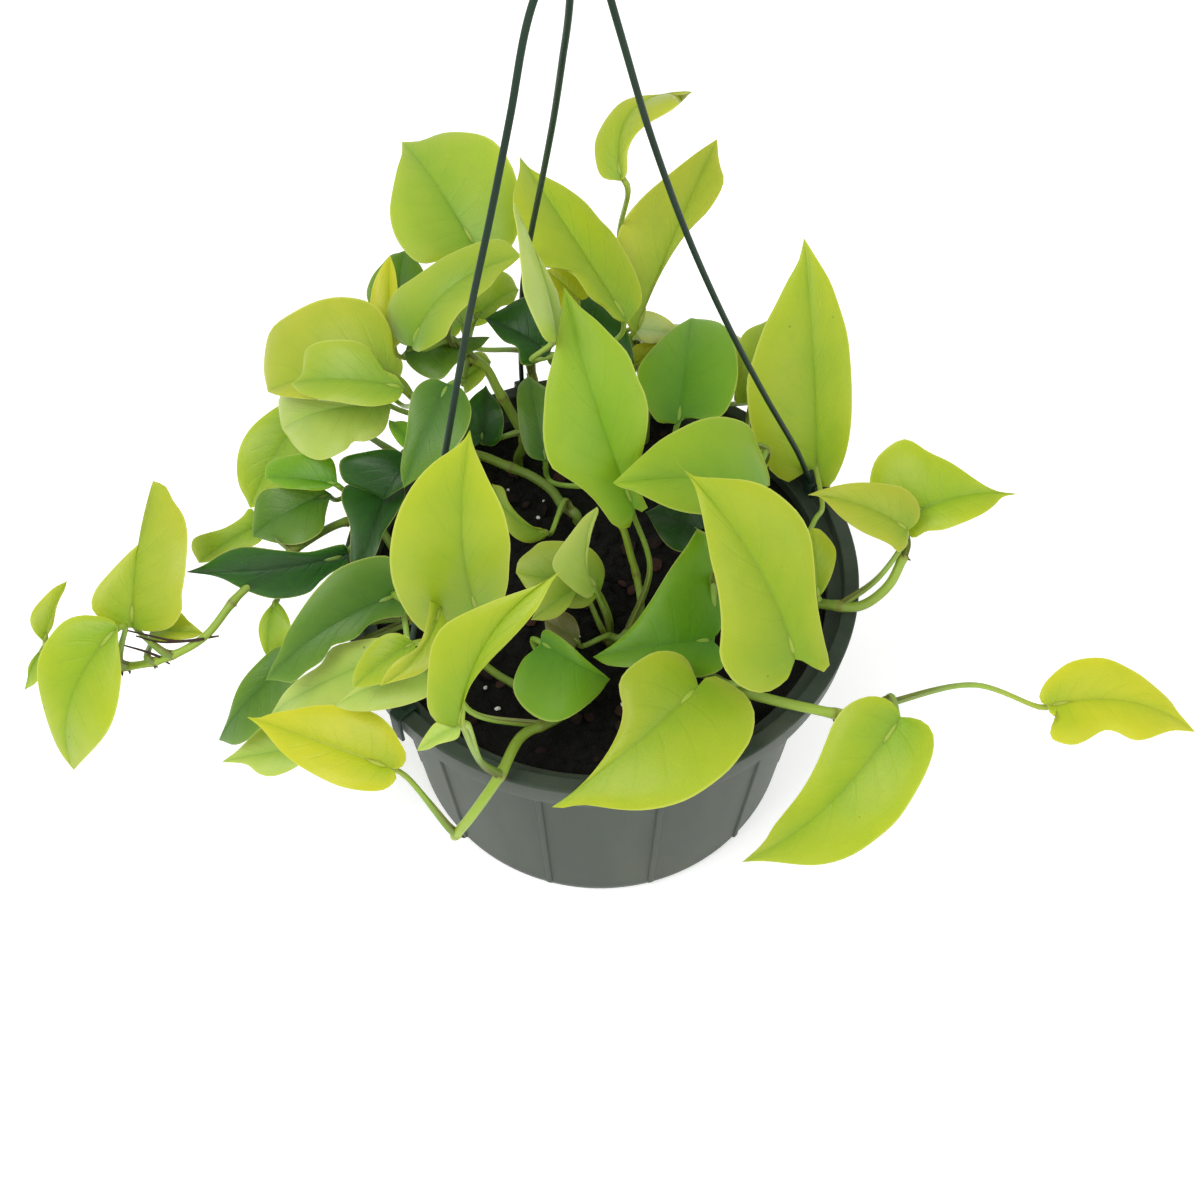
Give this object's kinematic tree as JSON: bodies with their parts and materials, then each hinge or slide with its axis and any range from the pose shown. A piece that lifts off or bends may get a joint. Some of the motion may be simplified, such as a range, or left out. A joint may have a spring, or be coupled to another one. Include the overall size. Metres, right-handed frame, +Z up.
{
  "type": "potted neon pothos",
  "caption": "Neon pothos with heart-shaped leaves and trailing vines in a ribbed plastic hanging pot, with soil, three hanger strands and a hook.",
  "frame": {"origin": "middle of the pot's underside, on the surface that it stands on", "axes": "+Z up along the pot's axis, -Y towards the front of the plant, +X to its right, along which the leaves spread widest"},
  "size_m": [0.5736, 0.338, 0.5381],
  "materials": {
    "pot_plastic": "satin moulded plastic",
    "potting_soil": "loose damp potting mix",
    "hanger_plastic": "smooth moulded plastic",
    "leaf": "satin fresh leaf"
  },
  "bodies": {
    "root": {"pot": "pot_plastic", "soil": "potting_soil", "hook": "hanger_plastic", "strand_right": "hanger_plastic", "strand_back": "hanger_plastic", "strand_left": "hanger_plastic", "vine_right": "leaf", "vine_rim_right": "leaf", "vine_front": "leaf", "vine_left": "leaf", "stem_left_high": "leaf", "stem_left": "leaf", "stem_back_left": "leaf", "stem_back": "leaf", "stem_back_right": "leaf", "stem_right": "leaf", "stem_middle": "leaf", "stem_front_left": "leaf", "stem_low_left": "leaf", "stem_front_right": "leaf", "stem_rear_left": "leaf", "stem_rear_right": "leaf"}
  },
  "joints": []
}
